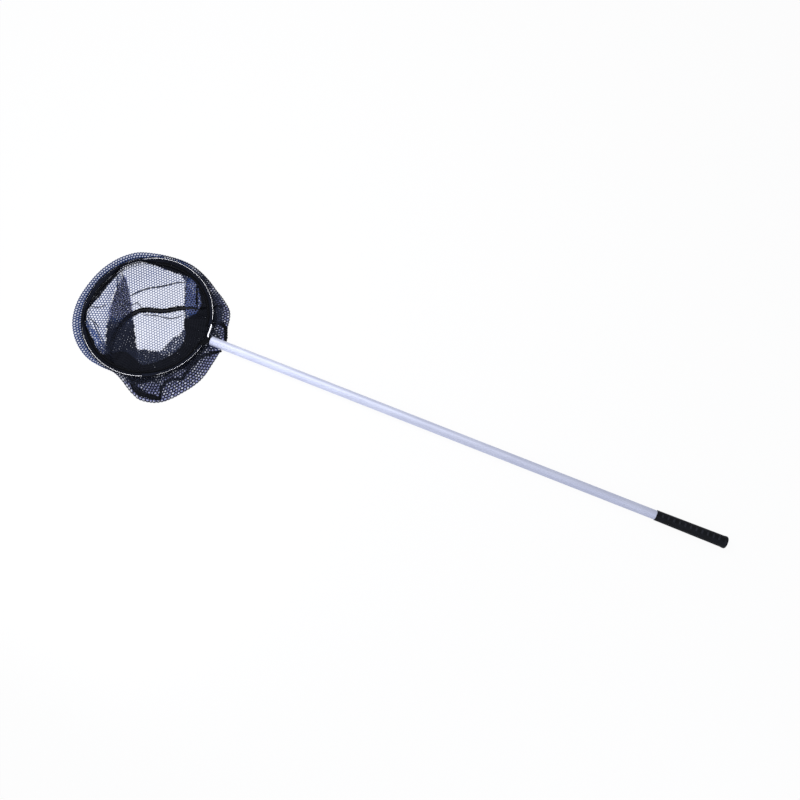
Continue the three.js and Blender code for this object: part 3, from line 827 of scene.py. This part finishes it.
def pleated_place(u, v):
    """The bag's bottom right of the pleat, and the pleat. Right of the pleat's right edge it lies
    flat. Past the edge, the angle round the apex runs left, back and left again, in three layers
    with crowded meshes."""
    distance, angle = about_apex(u, v)
    right, left = pleat_edges(distance)
    past = np.maximum(right - angle, 0) * PLEAT_CROWDING / (right - left)
    layer = np.clip(np.floor(past), 0, 2)
    within = np.where(layer == 1, 1 - (past - layer), past - layer)
    placed = np.radians(np.where(past > 0, right - within * (right - left), angle))
    spread = np.radians(right - left) * distance
    rise = sum(smooth_step((past - fold) * spread, -2.5, 2.5) for fold in (1, 2))
    x, y = PLEAT_APEX[0] + distance * np.cos(placed), PLEAT_APEX[1] + distance * np.sin(placed)
    height = FLOOR_LAYER + PLEAT_STEP * rise * smooth_step(distance, 0, 15)
    points = np.stack([x, y, height], axis=-1)
    over_seam = np.exp(-(distance_to(points, seam_line()[::4]) / 6) ** 2)
    points[..., 2] += np.minimum(rise, 1) * SEAM_HEIGHT * over_seam
    return press_under_handle(soft_ripples(points))


def left_place(u, v):
    """The bag's bottom left of the pleat, with its meshes turned by what the pleat took up. It
    rises beside the pleat, onto its layers."""
    x, y = turned(u, v, LEFT_TURN)
    distance, angle = about_apex(x, y)
    away = np.radians(np.maximum(pleat_edges(distance)[1] - angle, 0)) * distance
    height = FLOOR_LAYER + 2 * PLEAT_STEP * np.exp(-away / 9)
    return soft_ripples(np.stack([x, y, height], axis=-1))


def on_bottom(points):
    """Whether each point lies on the bag's bottom, 3.5 mm or more inside the bag's outer edge."""
    degrees, radius = polar(points)
    return radius < np.minimum(outer_radius(degrees) - 3.5, BOTTOM_RADIUS)


def pleated_net(far):
    """The bottom right of the pleat, and the pleat. Strands widen in its far corner, which lies
    away from the grip. The sheet is laid out much larger than it ends up, for the pleat to take up."""
    def keep(u, v, points):
        distance, angle = about_apex(u, v)
        right, left = pleat_edges(distance)
        in_pleat = (right - angle) * PLEAT_CROWDING < 3 * (right - left)
        return in_pleat & on_bottom(points) & on_side(points, far)
    return hexagon_net(((-440.0, 210.0), (-280.0, 340.0)), pleated_place, keep,
                       strand=lambda u, v: FLOOR_STRAND + 0.45 * smooth_step(v - 0.8 * u, 75, 100))


def left_net(far):
    """The bottom left of the pleat, which reaches 2 mm under it."""
    def keep(u, v, points):
        distance, angle = about_apex(points[..., 0], points[..., 1])
        left = angle < pleat_edges(distance)[1] + np.degrees(2 / np.maximum(distance, 2))
        return left & on_bottom(points) & on_side(points, far)
    return hexagon_net(((-260.0, 200.0), (-260.0, 260.0)), left_place, keep, strand=LEFT_STRAND)


def flat_net(far, inner, outer, turn, height, strand=STRAND_WIDTH, in_pleat=False):
    """Netting that has slid out over the bag's bottom: a flat sheet between two rings, whose meshes
    are turned by an angle. It can keep to the pleat, and 3 mm about it. The strand's width is a
    number, or a function of the points."""
    def place(u, v):
        x, y = turned(u, v, turn)
        points = np.stack([x, y, np.full_like(x, height)], axis=-1)
        return press_under_handle(soft_ripples(points))

    def keep(u, v, points):
        degrees, radius = polar(points)
        wanted = (radius > inner(degrees)) & (radius < outer(degrees)) & on_side(points, far)
        if in_pleat:
            distance, angle = about_apex(points[..., 0], points[..., 1])
            right, left = pleat_edges(distance)
            past = np.degrees(3 / np.maximum(distance, 3))
            wanted &= (angle < right + past) & (angle > left - past)
        return wanted

    strand_at = (lambda u, v: strand(place(u, v))) if callable(strand) else strand
    return hexagon_net(((-230.0, 230.0), (-230.0, 230.0)), place, keep, strand=strand_at)


def folded_net(far, folds, heights, anchor, pitch=MESH_PITCH, strand=STRAND_WIDTH, fullness=1.1,
               gather=0.002):
    """Netting that runs round the hoop and goes in and out between rings. u runs round, and v from
    each ring to the next, with a row of meshes right on the anchor ring, so that the layers on
    its two sides match. Fullness is the netting's length over that of a ring of 170 mm. Gathers
    crowd the meshes by two sines of the angle, slanted by the radius, and ripple them."""
    def legs(degrees):
        radii = [fold(degrees) for fold in folds]
        return radii, [np.abs(after - before) + 0.01 for before, after in zip(radii, radii[1:])]

    def place(u, v):
        degrees = np.degrees(u / (NET_RING * fullness))
        radii, lengths = legs(degrees)
        radius, height, travelled = radii[0], heights[0], -sum(lengths[:anchor])
        for k, length in enumerate(lengths):
            part = np.clip((v - travelled) / length, 0, 1)
            radius = radius + part * (radii[k + 1] - radii[k])
            height = height + part * (heights[k + 1] - heights[k])
            travelled = travelled + length
        turn = np.radians(GATHERS * degrees + 0.9 * radius)
        angle = np.radians(degrees) + gather * (np.sin(turn) + 0.6 * np.sin(1.63 * turn + 1))
        wave = gather * 25 * np.cos(turn)
        points = np.stack([radius * np.cos(angle), radius * np.sin(angle), height + wave], axis=-1)
        return press_under_handle(points)

    def keep(u, v, points):
        degrees = np.degrees(u / (NET_RING * fullness))
        lengths = legs(degrees)[1]
        before, total = sum(lengths[:anchor]), sum(lengths)
        return (v > -before) & (v < total - before) & (total > 3) & on_side(points, far)

    def crowding(u, v):
        apart = np.linalg.norm(place(u + 1, v) - place(u - 1, v), axis=-1) / 2
        return np.clip(apart, 0.2, 1.4)

    reach = 30 * pitch * math.sqrt(0.75)
    return hexagon_net(((0.0, 2 * np.pi * NET_RING * fullness), (-reach, reach)), place, keep,
                       pitch, strand, crowding)


def bunched_net(far, stops, width, layers, height, pressed=True):
    """Netting drawn together into a band along a line of points: it zigzags across the band in
    layers. The band is widest in its middle, sways a little by slow sines of the distance along it,
    and the handle can press it down."""
    line = line_through(np.array(stops, dtype=float))
    along = np.gradient(line, axis=0)
    along /= np.linalg.norm(along, axis=1)[:, None]
    travelled = np.arange(len(line))
    fold = max(width, 0.6 * MESH_PITCH)

    def place(u, v):
        layer = np.floor(v / fold)
        within = np.where(layer % 2 == 1, 1 - (v / fold - layer), v / fold - layer)
        part = np.clip(u / travelled[-1], 0, 1)
        swell = 0.25 + 0.75 * np.sqrt(4 * part * (1 - part)) + 0.15 * np.sin(u / 5 + layer)
        offset = (within - 0.5) * width * swell + 0.1 * width * np.sin(u / 9 + 2 * layer)
        x, y, forward_x, forward_y = (np.interp(u, travelled, values) for values in (*line.T, *along.T))
        points = np.stack([x - forward_y * offset, y + forward_x * offset, height + BUNCH_STEP * layer],
                          axis=-1)
        return press_under_handle(points) if pressed else points

    def keep(u, v, points):
        return on_side(points, far)

    return hexagon_net(((0.0, float(travelled[-1])), (0.0, fold * layers)), place, keep)


def from_polar(stops):
    """Points in plan of (degrees, radius) stops."""
    degrees, radii = np.array(stops, dtype=float).T
    return radii[:, None] * direction(degrees)


def bottom_shade(points):
    """Depth of shade of the bag's bottom: light where it lies single, and darker under folds and in
    the pleat, most of all in its upper layers."""
    degrees, radius = polar(points)
    distance, angle = about_apex(points[:, 0], points[:, 1])
    right, left = pleat_edges(distance)
    in_pleat = (angle < right + 0.5) & (angle > left - 0.5)
    shade = np.where(radius > window_edge(degrees), 0.4, 0.27)
    pleat = 0.15 + 0.7 * smooth_step(points[:, 2], 0.9, 2.4)
    return np.where(in_pleat, np.maximum(pleat, 0.85 * far_end_of_pleat(points)), shade)


def far_end_of_pleat(points):
    """0 near the pleat's apex and 1 past the seam, where the pleat's shade is deepest."""
    return smooth_step(about_apex(points[..., 0], points[..., 1])[0], 100, 145)


def deeper_past_seam(value, by):
    """A function of points: a value, and more of it at the far end of the pleat."""
    return lambda points: value + by * far_end_of_pleat(points)


def in_sector(points, middle, half):
    """1 in a sector about a direction in degrees and 0 beyond, with soft edges 16 degrees wide."""
    away = np.abs((polar(points)[0] - middle + 180) % 360 - 180)
    return 1 - smooth_step(away, half - 8, half + 8)


def less_in_sector(value, by, middle, half):
    """A function of points: a value, and less of it in a sector."""
    return lambda points: value - by * in_sector(points, middle, half)


def side_shade(points):
    """Depth of shade of the bag's side: the upper layer is dark, most of all in the lobes towards
    the grip, and light comes through the lower."""
    degrees, radius = polar(points)
    in_lobe = smooth_step(np.cos(np.radians(degrees + 10)), -0.1, 0.4)
    upper = smooth_step(points[:, 2], 1.3, 2.6)
    at_hem = 1 - smooth_step(radius, 148, 156)
    return np.maximum(0.2 + 0.18 * in_lobe + (0.13 + 0.38 * in_lobe) * upper, at_hem)


def make_bag(material):
    """The two panels. Each has its side of the bottom, the folded layers on it, and its side. A net
    goes with its depth of painted shade, and layers are painted lighter where the light reaches them."""
    bottom_edge, pleat_bed = constant_ring(BOTTOM_RADIUS), deeper_past_seam(0.05, 0.8)
    left, grip_side, lobe = (212, 25), (50, 26), (32, 18)  # sectors: middle and half width
    left_strand = less_in_sector(2.1, 0.7, *left)
    flat_layers = [  # on the bottom: inner edge, turn, height, strand and depth of shade
        (window_edge, 52, 0.9, left_strand, less_in_sector(0.5, 0.3, *left)),
        (window_edge, 14, 1.3, left_strand, less_in_sector(0.75, 0.48, *left)),
        (middle_edge, -17, 1.9, STRAND_WIDTH, 0.8),
        (middle_edge, 35, 2.3, 1.3, less_in_sector(0.9, 0.74, *grip_side)),
    ]
    for side, far in (("far", True), ("near", False)):
        bottom = [(pleated_net(far), bottom_shade), (left_net(far), bottom_shade),
                  (flat_net(far, constant_ring(0.0), bottom_edge, turn=40, height=0.8,
                            strand=deeper_past_seam(UNDER_STRAND, 2), in_pleat=True), pleat_bed)]
        bottom += [(bunched_net(far, points, width, layers=4, height=1.2), 0.85)
                   for points, width in CREASES]
        folds = [(flat_net(far, edge, bottom_edge, turn, height, strand), shade)
                 for edge, turn, height, strand, shade in flat_layers]
        folds += [(folded_net(far, [hem_edge, bunch_edge, hem_edge, bunch_edge], (5.6, 4.4, 3.4, 2.6),
                              anchor=1, fullness=2.0, gather=0.007), 0.97),
                  (bunched_net(far, seam_line(), width=12.0, layers=6, height=0.9), 1.0)]
        sides = [(folded_net(far, [hem_edge, outer_fold, hem_edge], (4.6, 3.1, 2.5), anchor=1),
                  less_in_sector(0.9, 0.3, *lobe)),
                 (folded_net(far, [hem_edge, outer_radius, constant_ring(BOTTOM_RADIUS - 4)],
                             (6.0, 2.2, 0.5), 1, SIDE_PITCH, SIDE_STRAND), side_shade),
                 (flat_net(far, lobe_fold, lambda degrees: outer_radius(degrees) - 2, turn=25,
                           height=1.1, strand=UNDER_STRAND), 0.0)]
        sides += [(bunched_net(far, from_polar(stops), *fold), 1.0) for stops, *fold in DEEP_FOLDS]
        sides.append((bunched_net(far, *LEG_COVER, pressed=False), 1.0))
        for part, nets in (("bottom", bottom), ("folds", folds), ("sides", sides)):
            nets = [pair for pair in nets if len(pair[0][1])]
            net_piece(f"net_{part}_{side}", nets, "bag_panel_" + side, material)


def hem_place(local, lengths, gather):
    """A function that carries a line of points on the hem's section round the hoop. A point is a
    distance from the wire along the hem, and one below it. The hem leans by an angle that varies."""
    def place(u, v):
        degrees = np.degrees(u * gather / HOOP_RADIUS)
        lean, depth = np.radians(hem_lean(degrees)), hem_reach(degrees)
        along, below = (np.interp(v, lengths, values) for values in local.T)
        along = np.where(along > HEM_NECK, HEM_NECK + (along - HEM_NECK) * depth, along)
        radius = HOOP_RADIUS - along * np.cos(lean) + below * np.sin(lean)
        height = AXIS_HEIGHT - along * np.sin(lean) - below * np.cos(lean)
        angle = np.radians(degrees) + 0.003 * np.sin(u / 9.0)
        return np.stack([radius * np.cos(angle), radius * np.sin(angle), height], axis=-1)
    return place


def hem_net(local, fullness, pitch, strand):
    """Netting on a line of points of the hem's section, from the hem's far end to its near end."""
    local = np.array(local, dtype=float)
    lengths = lengths_along(local)
    ends = np.radians([HEM_END_FAR, 360 - HEM_END_NEAR]) * HOOP_RADIUS * fullness
    return hexagon_net((tuple(ends), (0.0, lengths[-1])), hem_place(local, lengths, 1 / fullness),
                       lambda u, v, points: np.ones_like(u, dtype=bool), pitch, strand,
                       lambda u, v: np.full_like(u, 1 / fullness))


def make_hem(material):
    """The hem: one open layer of netting round the wire, gathered netting beside it, and a gathered
    band of four layers. Each is a line of points of the hem's section."""
    loop = WIRE_RADIUS + 0.5

    def around(start, end):
        turn = np.radians(np.linspace(start, end, 12))
        return zip(loop * np.cos(turn), loop * np.sin(turn))

    over_wire = [(HEM_NECK + 4, 0.4), *around(60, 300), (HEM_NECK + 4, -0.4)]
    cheeks = [list(around(100, 236)), [*around(290, 310), (HEM_NECK, -0.5)]]
    band = [(HEM_NECK, 0.9), (HEM_DEPTH, 0.9), (HEM_DEPTH, 0.3), (HEM_NECK, 0.3), (HEM_DEPTH, -0.3),
            (HEM_DEPTH, -0.9), (HEM_NECK, -0.9)]
    nets = [(hem_net(over_wire, 1.0, HEM_PITCH,
                     lambda u, v: HEM_PITCH * hem_cover(np.degrees(u / HOOP_RADIUS))), 0.9)]
    nets += [(hem_net(cheek, 2.4, CHEEK_PITCH, CHEEK_STRAND), 1.0) for cheek in cheeks]
    nets.append((hem_net(band, 2.0, MESH_PITCH, STRAND_WIDTH), 1.0))
    return net_piece("net_hem", nets, "hem_casing", material, HEM_THREAD)


def make_hem_stitching(material):
    """Zigzag stitch along the hem, near its sewn edge: a round thread 0.76 mm thick that swings
    1.3 mm each way across the hem, every 2 mm, on its upper layer."""
    slope, swing, step, thread_radius = math.radians(HEM_SLOPE), 1.3, 2.0, 0.38
    start, end = np.radians([HEM_END_FAR + 0.5, 360 - HEM_END_NEAR - 0.5])
    angle = np.linspace(start, end, int((end - start) * HOOP_RADIUS / 0.5))
    zigzag = np.arcsin(0.95 * np.sin(angle * HOOP_RADIUS * np.pi / step)) / (np.pi / 2)
    along = HEM_DEPTH - 3.0 + swing * zigzag
    lift = HEM_THICKNESS + HEM_LAYER_GAP / 2 + 0.35
    radius = HOOP_RADIUS - along * math.cos(slope) - lift * math.sin(slope)
    height = AXIS_HEIGHT - along * math.sin(slope) + lift * math.cos(slope)
    centres = np.stack([radius * np.cos(angle), radius * np.sin(angle), height], axis=1)
    return sweep("hem_stitching", centres, headings_along(centres), circle_section(thread_radius, 6),
                 material, "seam_thread")


def make_seam(material):
    """The overlocked seam ridge: an oval section along the seam, whose half width swells where the
    netting bunches, with a thread wrapped over it every 2.4 mm. It rises and falls by 0.3 mm."""
    line = seam_line()
    even = np.arange(4, len(line) - 4, 0.4)
    line = points_at(even, np.arange(len(line)), line)
    wraps = 0.5 + 0.5 * np.cos(even * 2 * np.pi / SEAM_WRAP)
    bunch = 0.9 + 0.16 * np.sin(even / 6.1) + 0.12 * np.sin(even / 2.9 + 1)
    width = (SEAM_WIDTH / 2 - 0.5) * bunch + 0.35 * wraps
    height = SEAM_HEIGHT / 2 - 0.25 + 0.25 * wraps
    section = circle_section(1.0, 14)[None] * np.stack([width, height], axis=1)[:, None, :]
    middle = NET_THICKNESS + SEAT + SEAM_HEIGHT / 2 + 0.3 * np.sin(even / 11)
    piece = sweep("seam_ridge", np.column_stack([line, middle]), headings_along(line), section,
                  material, "seam_thread")
    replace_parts(piece, "bag_seam")
    return piece


# Stage

def make_camera():
    """A camera at a distance from its target, turned by its roll about its line of sight."""
    turn, lift, tilt = np.radians([CAMERA_AZIMUTH, CAMERA_ELEVATION, CAMERA_ROLL]).tolist()
    back = Vector((math.sin(turn) * math.cos(lift), -math.cos(turn) * math.cos(lift), math.sin(lift)))
    level = Vector((math.cos(turn), math.sin(turn), 0))
    upright = back.cross(level)
    right = math.cos(tilt) * level + math.sin(tilt) * upright
    up = math.cos(tilt) * upright - math.sin(tilt) * level
    matrix = Matrix((right, up, back)).transposed().to_4x4()
    matrix.translation = (Vector(CAMERA_TARGET) + CAMERA_DISTANCE * back) * MM
    data = bpy.data.cameras.new("camera")
    data.sensor_width = SENSOR_WIDTH
    data.lens = CAMERA_FOCAL_PIXELS / PICTURE_SIDE * SENSOR_WIDTH
    data.clip_end = 20.0
    camera = add_object("camera", data)
    camera.matrix_world = matrix
    bpy.context.scene.camera = camera


def make_floor():
    """A white floor that shows nearly white to the camera, but keeps its shade under the bag, where
    that white is painted pale lavender, a painted light from the net. Its points lie in three rings:
    two just inside the bag's outer edge, and one far away."""
    material, tree = new_material("white_paper_floor")
    glow, seen = attribute(tree, "glow"), add_node(tree, "ShaderNodeLightPath").outputs["Is Camera Ray"]
    share = add_node(tree, "ShaderNodeMath", {0: seen, 1: glow}, operation="MULTIPLY")
    paper = add_node(tree, "ShaderNodeBsdfDiffuse", {"Color": linear("#f2f2f4")})
    # Under the bag the white that the camera sees is painted pale lavender, a painted light from the
    # net
    painted_lavender_light = ramp_of(tree, glow, [(SHADED_GLOW, "#e6ebfb"), (OPEN_GLOW, "#ffffff")])
    white = add_node(tree, "ShaderNodeEmission", {"Color": painted_lavender_light, "Strength": 1.0})
    mixed = add_node(tree, "ShaderNodeMixShader", {
        0: share.outputs["Value"], 1: paper.outputs["BSDF"], 2: white.outputs["Emission"]})
    add_node(tree, "ShaderNodeOutputMaterial", {"Surface": mixed.outputs["Shader"]})
    degrees = np.arange(0.0, 360.0, 2.0)
    edge, count = outer_radius(degrees), len(degrees)
    radii = np.stack([edge - 5, edge - 1, np.full(count, FLOOR_RADIUS)])
    points = np.concatenate([radii[..., None] * direction(degrees), np.zeros((3, count, 1))], axis=-1)
    faces = [np.arange(count)[None], grid_faces(3, count)]
    floor = make_mesh("floor", points, faces, material,
                      {"glow": np.repeat([SHADED_GLOW, OPEN_GLOW, OPEN_GLOW], count)})


def make_lamp(name, place, target, side, watts, colour):
    """A square area lamp that faces its target."""
    data = bpy.data.lights.new(name, "AREA")
    data.size = side
    data.energy = watts
    data.color = linear(colour)[:3]
    lamp = add_object(name, data)
    lamp.location = place
    lamp.rotation_euler = (Vector(target) - Vector(place)).to_track_quat("-Z", "Y").to_euler()


def make_light():
    """A studio that is soft grey to the object and white to the camera, and the lamps."""
    world = bpy.data.worlds.new("studio")
    bpy.context.scene.world = world
    world.use_nodes = True
    tree = world.node_tree
    tree.nodes.clear()
    seen = add_node(tree, "ShaderNodeLightPath").outputs["Is Camera Ray"]
    soft = add_node(tree, "ShaderNodeBackground", {"Color": linear("#eef0f6"), "Strength": 0.53})
    white = add_node(tree, "ShaderNodeBackground", {"Color": (1, 1, 1, 1), "Strength": 1.0})
    mixed = add_node(tree, "ShaderNodeMixShader", {
        0: seen, 1: soft.outputs["Background"], 2: white.outputs["Background"]})
    add_node(tree, "ShaderNodeOutputWorld", {"Surface": mixed.outputs["Shader"]})
    for lamp in LAMPS:
        make_lamp(*lamp)


def main():
    make_camera()
    aluminium = anodised_aluminium()
    wire = plated_wire()
    rubber = moulded_rubber()
    net = nylon_net()
    thread = sewing_thread()
    plug_plastic = moulded_plug_plastic()

    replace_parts(make_tube(aluminium), "handle_tube")
    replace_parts(make_grip(rubber), "grip")
    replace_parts(make_hoop(wire), "hoop_wire")
    make_hem(net)
    make_hem_stitching(thread)
    make_bag(net)
    make_seam(thread)
    for name, material in (("head_plug", plug_plastic), ("plug_rivet", aluminium)):
        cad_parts[name].data.materials.clear()
        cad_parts[name].data.materials.append(material)

    make_floor()
    make_light()
    bpy.context.scene.view_settings.view_transform = "Standard"


main()
